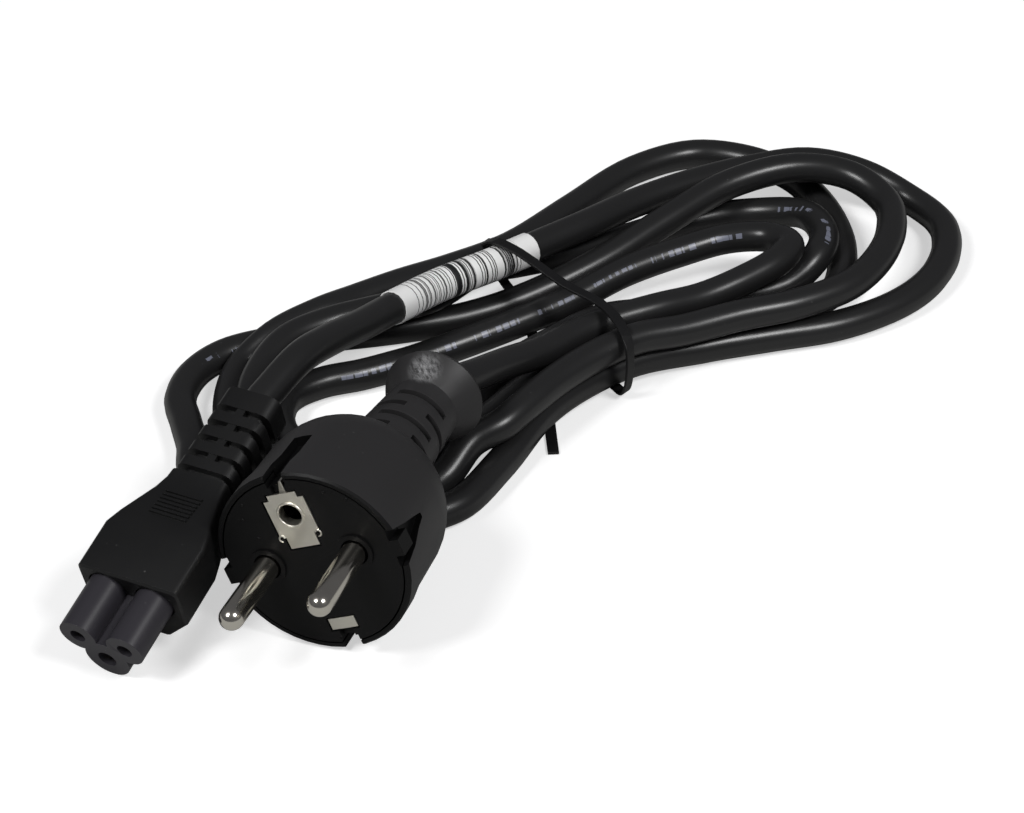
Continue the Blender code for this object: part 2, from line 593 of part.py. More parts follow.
TIE_ROUTE = [
    (65, 31, 1), (67, 38, 1), (70, 48, 1), (73, 60, 1), (76, 73, 1), (78, 86, 1), (77, 92, 2), (75, 94.4, 6),
    (73, 93.6, 12.4), (71, 87.8, 16.8), (71, 81.8, 20.6), (74, 76, 20.6), (80, 65, 18), (85, 57, 17), (86, 49, 17),
    (86, 43.4, 15), (86, 42.4, 11.5), (86, 42.7, 7), (86, 44.2, 3), (86, 47, 1), (85, 52, 1), (84, 60, 1), (84, 72, 1),
]
TIE_ALONG = Vector((0.86, 0.5, 0.0))


def smooth(points, steps):
    """A centripetal Catmull-Rom curve through the points."""
    points = [2 * points[0] - points[1]] + points + [2 * points[-1] - points[-2]]
    curve = []
    for p0, p1, p2, p3 in zip(points, points[1:], points[2:], points[3:]):
        knots = [0.0]
        for start, end in ((p0, p1), (p1, p2), (p2, p3)):
            knots.append(knots[-1] + sqrt((end - start).length))
        t0, t1, t2, t3 = knots
        for i in range(steps):
            t = t1 + (t2 - t1) * i / steps
            a1 = p0.lerp(p1, (t - t0) / (t1 - t0))
            a2 = p1.lerp(p2, (t - t1) / (t2 - t1))
            a3 = p2.lerp(p3, (t - t2) / (t3 - t2))
            b1 = a1.lerp(a2, (t - t0) / (t2 - t0))
            b2 = a2.lerp(a3, (t - t1) / (t3 - t1))
            curve.append(b1.lerp(b2, (t - t1) / (t2 - t1)))
    return curve + [points[-2].copy()]


def resting(points, half):
    """Lift whatever would dip into the floor."""
    for point in points:
        point.z = max(point.z, half + FLOOR_GAP)
    return points


def thinned(points, turn, reach):
    """Keep a point wherever the curve has turned or run far enough since the last one kept."""
    kept = [points[0]]
    heading = (points[1] - points[0]).normalized()
    run = 0.0
    for before, here, after in zip(points, points[1:], points[2:]):
        run += (here - before).length
        ahead = (after - here).normalized()
        if heading.angle(ahead) > turn or run > reach:
            kept.append(here)
            heading, run = ahead, 0.0
    return kept + [points[-1]]


def tube_along(points, radius, name, finish, capped):
    line = bpy.data.curves.new(name, "CURVE")
    line.dimensions = "3D"
    line.bevel_depth = radius
    line.bevel_resolution = 3
    line.use_fill_caps = capped
    spline = line.splines.new("POLY")
    spline.points.add(len(points) - 1)
    for point, place in zip(spline.points, points):
        point.co = (*place, 1.0)
    line.materials.append(finish)
    made = bpy.data.objects.new(name, line)
    parts.objects.link(made)
    return made


bpy.context.view_layer.update()
cord_start = connector_axis.matrix_world @ Vector((0, 0, collar_end + CORD_SEAT - GAP))
cord_out = connector_axis.matrix_world @ Vector((0, 0, collar_end - 2 * MM))
cord_in, cord_end = [
    plug_axis.matrix_world @ Vector((RELIEF_BEND[0] * lean**1.5, RELIEF_BEND[1] * lean**1.5, z))
    for z, lean in (
        (z, (-z - PLUG_BARREL_LENGTH) / (RELIEF_LENGTH + FLARE_LENGTH))
        for z in (flare_end - 1 * MM, flare_end + BELL_DEPTH + CORD_SEAT - 0.8 * MM)
    )
]
route = [cord_out] + [Vector(point) * MM + CORD_PLACE for point in CORD_ROUTE] + [cord_in]
cord_curve = resting(smooth(route, 6), CORD_DIAMETER / 2)
cord_line = [cord_start] + thinned(cord_curve, radians(30), 3.4 * CORD_DIAMETER) + [cord_end]
tube_along(cord_line, CORD_DIAMETER / 2, "cord", black_pvc, True)


# Label: a paper sleeve wrapped round the lead

def stretch(points, start, length):
    """The part of a line between two distances along it."""
    out = []
    run = 0.0
    for before, here in zip(points, points[1:]):
        step = (here - before).length
        for cut in (start, start + length):
            if run <= cut < run + step:
                out.append(before.lerp(here, (cut - run) / step))
        run += step
        if start < run < start + length:
            out.append(here)
    return out


label_line = stretch(cord_line, LABEL_START, LABEL_LENGTH)
label_sleeve = tube_along(label_line, CORD_DIAMETER / 2 + GAP, "label_sleeve", label_paper, False)
wall = label_sleeve.modifiers.new("wall", "SOLIDIFY")
wall.thickness = LABEL_WALL
wall.offset = 1.0


# Twist tie: a flat strip round the bundle, whose tail comes out underneath

tie_path = resting(smooth([Vector(point) * MM + CORD_PLACE for point in TIE_ROUTE], 3), TIE_THICKNESS / 2)
tie_rings = []
for i, place in enumerate(tie_path):
    ahead = (tie_path[min(i + 1, len(tie_path) - 1)] - tie_path[max(i - 1, 0)]).normalized()
    across = (TIE_ALONG - ahead * TIE_ALONG.dot(ahead)).normalized()
    out = ahead.cross(across)
    tie_rings.append([
        place + across * TIE_WIDTH / 2 * a + out * TIE_THICKNESS / 2 * b
        for a, b in ((-1, -1), (1, -1), (1, 1), (-1, 1))
    ])
object_from(loft(tie_rings), "twist_tie", parts, tie_plastic)
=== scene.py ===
# Cloverleaf power cord: a moulded three-hole connector and a round two-pin earthed plug, joined by a
# black lead that lies in a loose hank with a white label and a flat tie.
# Everything is in metres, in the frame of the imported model, and lies on the floor at Z = 0.

import json
from math import cos, pi, radians, sqrt

import bmesh
import bpy
from mathutils import Matrix, Vector
from mathutils.kdtree import KDTree

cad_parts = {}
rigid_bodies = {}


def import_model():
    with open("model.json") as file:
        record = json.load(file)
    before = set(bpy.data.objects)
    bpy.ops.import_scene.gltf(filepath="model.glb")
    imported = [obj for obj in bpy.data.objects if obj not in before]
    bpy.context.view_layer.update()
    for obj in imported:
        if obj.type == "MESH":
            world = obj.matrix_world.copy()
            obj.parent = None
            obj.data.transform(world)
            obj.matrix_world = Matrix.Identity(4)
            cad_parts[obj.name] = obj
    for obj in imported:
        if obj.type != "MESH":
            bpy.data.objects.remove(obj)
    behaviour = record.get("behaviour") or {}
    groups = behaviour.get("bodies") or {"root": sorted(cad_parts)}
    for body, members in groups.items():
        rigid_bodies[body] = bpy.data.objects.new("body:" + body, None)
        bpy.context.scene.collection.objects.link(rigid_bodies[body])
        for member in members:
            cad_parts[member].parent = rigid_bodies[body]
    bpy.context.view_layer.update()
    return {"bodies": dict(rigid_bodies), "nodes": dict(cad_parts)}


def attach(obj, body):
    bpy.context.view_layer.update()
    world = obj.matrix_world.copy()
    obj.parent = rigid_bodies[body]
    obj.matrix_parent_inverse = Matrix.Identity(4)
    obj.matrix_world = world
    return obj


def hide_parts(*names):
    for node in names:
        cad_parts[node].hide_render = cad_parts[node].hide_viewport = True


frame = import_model()
MM = 0.001
BODY = list(frame["bodies"])[0]


# Studio: the camera stands at the photograph's angle, over a plain pale floor, between two round
# softboxes. The floor glows a little for the camera alone, so that it stays near white.

CAMERA_LENS = 108.98
CAMERA_SENSOR = 36.0
CAMERA_PLACE = (-0.11883, -0.44749, 0.3681)
CAMERA_TURN = (radians(55), 0, radians(-20))
LIGHT_AIM = Vector((0.05, 0.03, 0.0))
LIGHT_WIDTH = 0.40
LIGHT_POWER = 8.0
ROOM_GREY = (0.085, 0.085, 0.09, 1)
BACKDROP_WHITE = (1.0, 1.0, 1.0, 1)
FLOOR_HALF = 3.0
FLOOR_GREY = (0.70, 0.70, 0.70, 1)
FLOOR_IN_GLOSS = (0.40, 0.40, 0.39, 1)
FLOOR_GLOW = 0.55

camera_data = bpy.data.cameras.new("camera")
camera_data.lens = CAMERA_LENS
camera_data.sensor_width = CAMERA_SENSOR
camera = bpy.data.objects.new("camera", camera_data)
camera.location = CAMERA_PLACE
camera.rotation_euler = CAMERA_TURN
bpy.context.scene.collection.objects.link(camera)
bpy.context.scene.camera = camera
bpy.context.scene.view_settings.view_transform = "Standard"


def softbox(name, place):
    light = bpy.data.lights.new(name, "AREA")
    light.shape = "DISK"
    light.size = LIGHT_WIDTH
    light.energy = LIGHT_POWER
    made = bpy.data.objects.new(name, light)
    made.location = place
    made.rotation_euler = (LIGHT_AIM - Vector(place)).to_track_quat("-Z", "Y").to_euler()
    bpy.context.scene.collection.objects.link(made)


softbox("softbox_left", (-0.74, -0.24, 1.02))
softbox("softbox_right", (0.48, -0.70, 1.02))


def linked(tree, kind, values=(), **settings):
    """Add a node, set its options, and set or link its inputs by name or number."""
    made = tree.nodes.new(kind)
    for key, value in settings.items():
        setattr(made, key, value)
    for key, value in dict(values).items():
        if isinstance(value, bpy.types.NodeSocket):
            tree.links.new(value, made.inputs[key])
        else:
            made.inputs[key].default_value = value
    return made


def work_out(tree, operation, *values, clamp=False):
    """A sum on up to three values or sockets."""
    settings = {"operation": operation, "use_clamp": clamp}
    return linked(tree, "ShaderNodeMath", dict(enumerate(values)), **settings).outputs[0]


def mix_colour(tree, share, first, second):
    """The first colour where the share is nought, and the second where it is one."""
    values = {0: share, 6: first, 7: second}
    return linked(tree, "ShaderNodeMix", values, data_type="RGBA").outputs[2]


world = bpy.data.worlds.new("studio")
bpy.context.scene.world = world
world.use_nodes = True
tree = world.node_tree
seen = linked(tree, "ShaderNodeLightPath").outputs["Is Camera Ray"]
tint = mix_colour(tree, seen, ROOM_GREY, BACKDROP_WHITE)
tree.links.new(tint, tree.nodes["Background"].inputs["Color"])

paper = bpy.data.materials.new("pale floor")
paper.use_nodes = True
tree = paper.node_tree
shader = tree.nodes["Principled BSDF"]
ray = linked(tree, "ShaderNodeLightPath").outputs
tint = mix_colour(tree, ray["Is Glossy Ray"], FLOOR_GREY, FLOOR_IN_GLOSS)
glow = work_out(tree, "MULTIPLY", ray["Is Camera Ray"], FLOOR_GLOW)
tree.links.new(tint, shader.inputs["Base Color"])
tree.links.new(glow, shader.inputs["Emission Strength"])
shader.inputs["Emission Color"].default_value = (1, 1, 1, 1)
shader.inputs["Roughness"].default_value = 0.9
shader.inputs["Specular IOR Level"].default_value = 0.0

floor_bm = bmesh.new()
bmesh.ops.create_grid(floor_bm, x_segments=1, y_segments=1, size=FLOOR_HALF)
floor_mesh = bpy.data.meshes.new("floor")
floor_bm.to_mesh(floor_mesh)
floor_bm.free()
floor_mesh.materials.append(paper)
floor = bpy.data.objects.new("floor", floor_mesh)
bpy.context.scene.collection.objects.link(floor)


# Lead: a round three-core mains lead, 6.7 mm across, with an extruded soft PVC sheath. It leaves the
# connector, runs round the hank four and a half times and goes into the plug. The print on the real
# sheath is left out: a few plain dashes stand in its place.

CORD_DIAMETER = 6.7 * MM
CORD_PLACE = Vector((-2.0, -3.5, -0.6)) * MM
FLOOR_GAP = 0.05 * MM
CORD_START = Vector((0.7221, 27.9592, 24.1823)) * MM
CORD_OUT = Vector((3.9465, 31.0730, 25.5956)) * MM
CORD_IN = Vector((39.0512, 28.8346, 20.6595)) * MM
CORD_END = Vector((34.4845, 24.5425, 20.0512)) * MM
LINE_STEPS = 6
PRINT_SIDE = Vector((-0.25, -0.75, 0.6))
DASH_STRETCHES = ((0.470, 0.484), (1.394, 1.424), (1.588, 1.688))
DASH_PITCH = 1.7 * MM
DASH_GROUP = 15 * MM
DASH_GROUP_SHARE = 0.74
DASH_BAND = (0.978, 1.1)
DASH_COLOUR = (0.17, 0.18, 0.23, 1)
CORD_ROUTE = [
    # Out of the connector, through the label and round the outermost fold
    (16, 43, 28), (24, 50, 26), (34, 59, 22), (43, 67, 19), (56, 75, 17), (69, 80, 16),
    (80, 85, 15), (94, 91, 14), (109, 99, 12), (124, 104, 11), (140, 107, 10), (154, 104, 11),
    (165, 98, 9), (173, 91, 5), (176, 80, 4), (172, 69, 4), (163, 59, 4), (152, 53, 4),
    (137, 50, 4), (122, 51, 4), (106, 52, 4), (91, 51, 5), (78, 47, 5), (66, 40, 5), (53, 28, 4),
    (41, 18, 4), (34, 16, 4), (27, 15, 4), (19, 17, 4), (11, 21, 4), (3, 27, 4), (-3, 35, 4),
    (-6, 45, 4), (-4, 54, 4),
    # Second turn, whose left fold is the one farthest out
    (-3, 63, 4), (-2, 71, 4), (3, 79, 4), (11, 84, 4), (21, 85, 4), (34, 83, 4), (48, 81, 4),
    (62, 80, 4), (76, 81, 5), (96, 85, 8), (115, 92, 11), (132, 98, 13), (148, 98, 14),
    (159, 92, 13), (163, 82, 11), (159, 71, 11), (151, 61, 11), (141, 54, 11), (128, 51, 11),
    (114, 51, 11), (101, 50, 11), (90, 49, 12), (80, 46, 12), (70, 41, 12), (61, 35, 12),
    (54, 31, 11), (47, 30, 9), (40, 26, 5), (32, 23, 4), (24, 23, 4), (15, 27, 4), (7, 33, 4),
    (2, 41, 4), (2, 50, 4), (5, 59, 4),
    # Third turn
    (8, 69, 4), (13, 77, 5), (21, 80, 9), (31, 82, 11), (41, 86, 10), (52, 90, 9), (65, 95, 7),
    (81, 102, 5), (102, 115, 4), (120, 125, 4), (136, 127, 4), (147, 120, 4), (153, 109, 4),
    (154, 92, 4), (150, 76, 4), (141, 62, 4), (127, 59, 4), (110, 60, 4), (94, 60, 5), (80, 56, 5),
    (66, 49, 5), (54, 42, 4), (46, 37, 4), (39, 33, 4), (32, 31, 4), (24, 31, 4), (16, 35, 4),
    (10, 41, 5), (8, 49, 8),
    # Fourth turn
    (10, 58, 11), (15, 66, 12), (22, 72, 13), (31, 75, 13), (43, 76, 13), (56, 80, 11),
    (69, 88, 10), (80, 91, 8), (93, 94, 6), (108, 98, 4), (124, 100, 4), (137, 97, 5), (146, 88, 8),
    (146, 78, 9), (141, 70, 9), (132, 67, 5), (118, 68, 4), (103, 68, 4), (90, 68, 5), (76, 63, 5),
    (62, 56, 5), (50, 48, 4), (41, 43, 4), (34, 39, 4), (26, 38, 4), (19, 42, 4), (15, 49, 4),
    (15, 57, 4),
    # Innermost half turn and into the plug
    (19, 64, 4), (27, 67, 4), (36, 67, 4), (46, 68, 4), (57, 69, 5), (70, 71, 6), (84, 74, 7),
    (99, 78, 9), (113, 80, 10), (124, 80, 11), (132, 76, 12), (134, 70, 13), (129, 65, 13),
    (120, 62, 12), (109, 60, 11), (98, 58, 12), (83, 56, 12), (70, 50, 13), (59, 44, 16),
    (50, 38, 19), (43, 34, 21),
]


def smooth(points, steps):
    """A centripetal Catmull-Rom curve through the points."""
    points = [2 * points[0] - points[1]] + points + [2 * points[-1] - points[-2]]
    curve = []
    for p0, p1, p2, p3 in zip(points, points[1:], points[2:], points[3:]):
        knots = [0.0]
        for start, end in ((p0, p1), (p1, p2), (p2, p3)):
            knots.append(knots[-1] + sqrt((end - start).length))
        t0, t1, t2, t3 = knots
        for i in range(steps):
            t = t1 + (t2 - t1) * i / steps
            a1 = p0.lerp(p1, (t - t0) / (t1 - t0))
            a2 = p1.lerp(p2, (t - t1) / (t2 - t1))
            a3 = p2.lerp(p3, (t - t2) / (t3 - t2))
            b1 = a1.lerp(a2, (t - t0) / (t2 - t0))
            b2 = a2.lerp(a3, (t - t1) / (t3 - t1))
            curve.append(b1.lerp(b2, (t - t1) / (t2 - t1)))
    return curve + [points[-2].copy()]


def resting(points, half):
    """Lift the points of a lead that would sink into the floor."""
    for point in points:
        point.z = max(point.z, half + FLOOR_GAP)
    return points


def swept(name, points, radius, capped=True):
    """A tube along the points. Each of its points knows how far along the tube it is, and how much it
    looks to the side that carries the dashes."""
    line = bpy.data.curves.new(name, "CURVE")
    line.dimensions = "3D"
    line.bevel_depth = radius
    line.bevel_resolution = 6
    line.use_fill_caps = capped
    spline = line.splines.new("POLY")
    spline.points.add(len(points) - 1)
    for point, place in zip(spline.points, points):
        point.co = (*place, 1.0)
    curve = bpy.data.objects.new(f"{name}_line", line)
    bpy.context.scene.collection.objects.link(curve)
    mesh = bpy.data.meshes.new_from_object(curve)
    bpy.data.objects.remove(curve)
    bm = bmesh.new()
    bm.from_mesh(mesh)
    bmesh.ops.remove_doubles(bm, verts=bm.verts, dist=0.001 * MM)
    bmesh.ops.recalc_face_normals(bm, faces=bm.faces)
    along = bm.verts.layers.float.new("along")
    side = bm.verts.layers.float.new("print_side")
    tree = KDTree(len(points))
    run = [0.0]
    for i, place in enumerate(points):
        tree.insert(place, i)
        run.append(run[-1] + (points[min(i + 1, len(points) - 1)] - place).length)
    tree.balance()
    for vertex in bm.verts:
        centre, i, away = tree.find(vertex.co)
        ahead = (points[min(i + 1, len(points) - 1)] - points[max(i - 1, 0)]).normalized()
        target = (PRINT_SIDE - ahead * PRINT_SIDE.dot(ahead)).normalized()
        vertex[along] = run[i]
        vertex[side] = (vertex.co - centre).normalized().dot(target)
    bm.to_mesh(mesh)
    bm.free()
    mesh.name = name
    mesh.shade_smooth()
    mesh.set_sharp_from_angle(angle=radians(50))
    made = bpy.data.objects.new(name, mesh)
    bpy.context.scene.collection.objects.link(made)
    return made


def group_of(name, inputs, outputs):
    """A shader node group with named sockets: (name, kind, value) in, (name, kind) out."""
    made = bpy.data.node_groups.new(name, "ShaderNodeTree")
    for label, kind, value in inputs:
        socket = made.interface.new_socket(label, in_out="INPUT", socket_type=f"NodeSocket{kind}")
        socket.default_value = value
    for label, kind in outputs:
        made.interface.new_socket(label, in_out="OUTPUT", socket_type=f"NodeSocket{kind}")
    return made, made.nodes.new("NodeGroupInput").outputs, made.nodes.new("NodeGroupOutput").inputs


def mapped(tree, value, low, high, first=0.0, last=1.0, **settings):
    """The value, stretched so that low gives the first number and high the last."""
    values = {"Value": value, "From Min": low, "From Max": high, "To Min": first, "To Max": last}
    return linked(tree, "ShaderNodeMapRange", values, **settings).outputs[0]


# The moulded skin has a fine grain, a cloudy gloss and a little pale dust. Every plastic uses it.
skin, given, put = group_of(
    "moulded_skin",
    [("Colour", "Color", (0.02, 0.02, 0.02, 1)), ("Roughness", "Float", 0.5), ("Cloud", "Float", 0.08),
     ("Grain Scale", "Float", 3000.0), ("Grain Depth", "Float", 0.1), ("Dust", "Float", 0.3)],
    [("Colour", "Color"), ("Roughness", "Float"), ("Normal", "Vector")],
)
GRAIN_HEIGHT = 0.05 * MM
DUST_COLOUR = (0.16, 0.16, 0.155, 1)
place = linked(skin, "ShaderNodeTexCoord").outputs["Object"]
look = {"Vector": place, "Scale": 90.0, "Detail": 4.0, "Roughness": 0.6}
cloud = linked(skin, "ShaderNodeTexNoise", look).outputs["Fac"]
swing = work_out(skin, "SUBTRACT", cloud, 0.5)
swing = work_out(skin, "MULTIPLY_ADD", swing, given["Cloud"], given["Roughness"])
skin.links.new(swing, put["Roughness"])
look = {"Vector": place, "Scale": given["Grain Scale"], "Detail": 3.0}
grain = linked(skin, "ShaderNodeTexNoise", look).outputs["Fac"]
look = {"Height": grain, "Strength": given["Grain Depth"], "Distance": GRAIN_HEIGHT}
skin.links.new(linked(skin, "ShaderNodeBump", look).outputs["Normal"], put["Normal"])
specks = linked(skin, "ShaderNodeTexVoronoi", {"Vector": place, "Scale": 420.0}, feature="F1")
near = mapped(skin, specks.outputs["Distance"], 0.05, 0.10, 1.0, 0.0)
rare = linked(skin, "ShaderNodeTexNoise", {"Vector": place, "Scale": 160.0, "Detail": 1.0})
both = work_out(skin, "MULTIPLY", near, mapped(skin, rare.outputs["Fac"], 0.55, 0.7))
amount = work_out(skin, "MULTIPLY", both, given["Dust"], clamp=True)
skin.links.new(mix_colour(skin, amount, given["Colour"], DUST_COLOUR), put["Colour"])


def plastic(name, colour, roughness, cloud, grain_scale, grain_depth, dust, specular=0.5):
    made = bpy.data.materials.new(name)
    made.use_nodes = True
    tree = made.node_tree
    shader = tree.nodes["Principled BSDF"]
    shader.inputs["Specular IOR Level"].default_value = specular
    surface = linked(tree, "ShaderNodeGroup", node_tree=skin)
    values = {"Colour": (*colour, 1), "Roughness": roughness, "Cloud": cloud, "Grain Scale": grain_scale,
              "Grain Depth": grain_depth, "Dust": dust}
    for key, value in values.items():
        surface.inputs[key].default_value = value
    tree.links.new(surface.outputs["Colour"], shader.inputs["Base Color"])
    tree.links.new(surface.outputs["Roughness"], shader.inputs["Roughness"])
    tree.links.new(surface.outputs["Normal"], shader.inputs["Normal"])
    return made


def known(tree, name):
    """What each point of the mesh knows under this name."""
    return linked(tree, "ShaderNodeAttribute", attribute_name=name).outputs["Fac"]


def dice(tree, number):
    """A fixed random value for each whole number."""
    return linked(tree, "ShaderNodeTexWhiteNoise", {"W": number}, noise_dimensions="1D").outputs["Value"]


def between(tree, value, low, high):
    """One where the value lies between low and high, and nought elsewhere."""
    above = work_out(tree, "GREATER_THAN", value, low)
    return work_out(tree, "MULTIPLY", above, work_out(tree, "LESS_THAN", value, high))


def recolour(made, mask, colour):
    """Lay a colour over a material's own where the mask is one."""
    tree = made.node_tree
    base = tree.nodes["Principled BSDF"].inputs["Base Color"]
    tree.links.new(mix_colour(tree, mask, base.links[0].from_socket, colour), base)


def dashes(made, stretches):
    """Print plain pale dashes of uneven length along the given stretches of a tube."""
    tree = made.node_tree
    along = known(tree, "along")
    cells = work_out(tree, "DIVIDE", along, DASH_PITCH)
    within = work_out(tree, "FRACT", cells)
    mask = work_out(tree, "LESS_THAN", within, dice(tree, work_out(tree, "FLOOR", cells)))
    mask = work_out(tree, "MULTIPLY", mask, between(tree, known(tree, "print_side"), *DASH_BAND))
    grouped = work_out(tree, "FRACT", work_out(tree, "DIVIDE", along, DASH_GROUP))
    mask = work_out(tree, "MULTIPLY", mask, work_out(tree, "LESS_THAN", grouped, DASH_GROUP_SHARE))
    total = 0.0
    for low, high in stretches:
        total = work_out(tree, "MAXIMUM", total, between(tree, along, low, high))
    recolour(made, work_out(tree, "MULTIPLY", mask, total), DASH_COLOUR)


cord_route = [CORD_OUT] + [Vector(point) * MM + CORD_PLACE for point in CORD_ROUTE] + [CORD_IN]
cord_line = [CORD_START] + resting(smooth(cord_route, LINE_STEPS), CORD_DIAMETER / 2) + [CORD_END]
cord = swept("lead", cord_line, CORD_DIAMETER / 2)
sheath = plastic(
    "lead sheath", (0.0170, 0.0170, 0.0173), 0.30, cloud=0.12, grain_scale=2200.0, grain_depth=0.05,
    dust=0.25,
)
dashes(sheath, DASH_STRETCHES)
cord.data.materials.append(sheath)
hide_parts("cord")
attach(cord, BODY)


# Label: a white paper sleeve wrapped round the lead near the connector. Plain irregular rings that
# stand for nothing fill its middle, and its two ends are bare.

LABEL_START = 55.0 * MM
LABEL_LENGTH = 41.0 * MM
LABEL_WALL = 0.25 * MM
LABEL_LIFT = 0.08 * MM
LABEL_BARE_START = 4.4 * MM
LABEL_BARE_END = 5.2 * MM
RING_WIDTH = 0.24 * MM
RING_CHANCE = (0.44, 0.60)
RING_INK = (0.012, 0.012, 0.013, 1)


def stretch(points, start, length):
    """The part of a line between two distances along it."""
    out = []
    run = 0.0
    for before, here in zip(points, points[1:]):
        step = (here - before).length
        for cut in (start, start + length):
            if run <= cut < run + step:
                out.append(before.lerp(here, (cut - run) / step))
        run += step
        if start < run < start + length:
            out.append(here)
    return out


label_line = smooth(stretch(cord_line, LABEL_START, LABEL_LENGTH), LINE_STEPS)
label = swept("label", label_line, CORD_DIAMETER / 2 + LABEL_LIFT, capped=False)
wall = label.modifiers.new("wall", "SOLIDIFY")
wall.thickness = LABEL_WALL
wall.offset = 1.0
ringed = plastic(
    "ringed label", (0.97, 0.97, 0.96), 0.42, cloud=0.06, grain_scale=1500.0, grain_depth=0.04, dust=0.0,
)
tree = ringed.node_tree
along = known(tree, "along")
number = work_out(tree, "FLOOR", work_out(tree, "DIVIDE", along, RING_WIDTH))
dark = mapped(tree, dice(tree, number), *RING_CHANCE)
middle = between(tree, along, LABEL_BARE_START, LABEL_LENGTH - LABEL_BARE_END)
recolour(ringed, work_out(tree, "MULTIPLY", dark, middle), RING_INK)
label.data.materials.append(ringed)
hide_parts("label_sleeve")
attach(label, BODY)


# Plug body: one soft grey-black overmoulding with a grained satin skin, from the barrel to the
# slotted relief and its trumpet flare. It is moulded over the pin carrier, whose black plastic makes
# the face. Its faces down in the grooves take the carrier's near-black skin as painted shade, and the
# thin rim round the face takes it too. The flare is scuffed pale in one place.

PLUG_RADIUS = 19.2 * MM
GROOVE_BACK = -15 * MM
GROOVE_DEPTH = 0.8 * MM
FACE_RIM = -0.42 * MM
WELD_DISTANCE = 0.002 * MM
FLAT_ANGLE = radians(0.8)
CUT_DISTANCE = 1e-7
SCUFF_PLACE = Vector((5.4, 8.2, -53.8)) * MM
SCUFF_REACH = 4.2 * MM
SCUFF_COLOUR = (0.26, 0.26, 0.265, 1)
SCUFF_ROUGHNESS = 0.32

plug_axis = (
    Matrix.Translation((0.2 * MM, -14.1 * MM, 19.645 * MM)) @ Matrix.Rotation(radians(-39.6), 4, "Z")
    @ Matrix.Rotation(radians(88.5), 4, "X") @ Matrix.Rotation(radians(24), 4, "Z")
)


def whole(bm):
    return bm.verts[:] + bm.edges[:] + bm.faces[:]


def cut_off(bm, parts, point, normal):
    """Take away those parts of a solid that lie beyond a plane, and close it there."""
    bmesh.ops.bisect_plane(
        bm, geom=parts, dist=CUT_DISTANCE, plane_co=point, plane_no=normal, clear_outer=True,
    )
    bmesh.ops.triangle_fill(bm, edges=[edge for edge in bm.edges if edge.is_boundary], use_beauty=True)


def joined(node, cuts=()):
    """The mesh of a CAD node with its loose triangles joined. Each cut is a point and a normal in the
    frame, and what lies beyond it goes."""
    bm = bmesh.new()
    bm.from_mesh(frame["nodes"][node].data)
    bmesh.ops.remove_doubles(bm, verts=bm.verts, dist=WELD_DISTANCE)
    bmesh.ops.dissolve_limit(bm, angle_limit=FLAT_ANGLE, verts=bm.verts, edges=bm.edges)
    for point, normal in cuts:
        cut_off(bm, whole(bm), point, normal)
    bmesh.ops.recalc_face_normals(bm, faces=bm.faces)
    for face in bm.faces:
        face.material_index = 0
    return bm


def finished(bm, name, node, width, finishes, angle=30):
    """Make the piece that stands for a CAD node, with its edges rounded."""
    mesh = bpy.data.meshes.new(name)
    bm.to_mesh(mesh)
    bm.free()
    mesh.shade_smooth()
    mesh.set_sharp_from_angle(angle=radians(angle))
    made = bpy.data.objects.new(name, mesh)
    bpy.context.scene.collection.objects.link(made)
    for finish in finishes:
        mesh.materials.append(finish)
    round_over = made.modifiers.new("round_over", "BEVEL")
    round_over.width = width
    round_over.segments = 2
    round_over.limit_method = "ANGLE"
    round_over.angle_limit = radians(angle)
    round_over.harden_normals = True
    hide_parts(node)
    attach(made, BODY)
    return made


def rubbed(made, point, reach, colour, roughness):
    """Rub a skin paler round a point, through a mask that is broken up into short streaks."""
    tree = made.node_tree
    place = linked(tree, "ShaderNodeTexCoord").outputs["Object"]
    look = {"Vector": place, "Rotation": (0.9, 0.2, -0.7), "Scale": (1.0, 0.28, 1.0)}
    drawn = linked(tree, "ShaderNodeMapping", look).outputs[0]
    look = {"Vector": drawn, "Scale": 1500.0, "Detail": 5.0, "Roughness": 0.7}
    broken = linked(tree, "ShaderNodeTexNoise", look).outputs["Fac"]
    away = linked(tree, "ShaderNodeVectorMath", {0: place, 1: point}, operation="DISTANCE").outputs["Value"]
    near = mapped(tree, away, 0.3 * reach, reach, 1.0, 0.0, interpolation_type="SMOOTHSTEP")
    mask = work_out(tree, "MULTIPLY", near, mapped(tree, broken, 0.38, 0.62))
    recolour(made, mask, colour)
    gloss = tree.nodes["Principled BSDF"].inputs["Roughness"]
    smoother = linked(tree, "ShaderNodeMix", {0: mask, 2: gloss.links[0].from_socket, 3: roughness})
    tree.links.new(smoother.outputs[0], gloss)


plug_skin = plastic(
    "plug skin", (0.0240, 0.0232, 0.0240), 0.48, cloud=0.12, grain_scale=2600.0, grain_depth=0.18,
    dust=0.35, specular=0.4,
)
rubbed(plug_skin, plug_axis @ SCUFF_PLACE, SCUFF_REACH, SCUFF_COLOUR, SCUFF_ROUGHNESS)
carrier_skin_and_painted_shade = plastic(
    "carrier skin and painted groove shade", (0.0035, 0.0035, 0.0037), 0.46, cloud=0.10, grain_scale=3200.0, grain_depth=0.10,
    dust=0.2, specular=0.2,
)
plug_bm = joined("plug_body")
to_plug = plug_axis.inverted()
# Faces down in the grooves get the near-black carrier skin as painted shade; faces on the thin rim round
# the face get it too.
for face in plug_bm.faces:
    middle = to_plug @ face.calc_center_median()
    groove_painted_shade = middle.z > GROOVE_BACK and middle.xy.length < PLUG_RADIUS - GROOVE_DEPTH
    if groove_painted_shade or middle.z > FACE_RIM:
        face.material_index = 1
plug = finished(plug_bm, "plug_moulding", "plug_body", 0.25 * MM, [plug_skin, carrier_skin_and_painted_shade])


# Pin carrier: the near-black disc that is the plug's face, of a harder plastic than the body. Plain
# round nibs stand on it where the real one has small moulded marks.

NIBS = ((-8.8, 14.2), (-10.1, 11.2), (-8.7, 6.9), (-9.9, 3.8), (8.8, 13.9), (12.7, 11.7))
NIB_RADIUS = 0.32 * MM
NIB_FLATNESS = 0.7

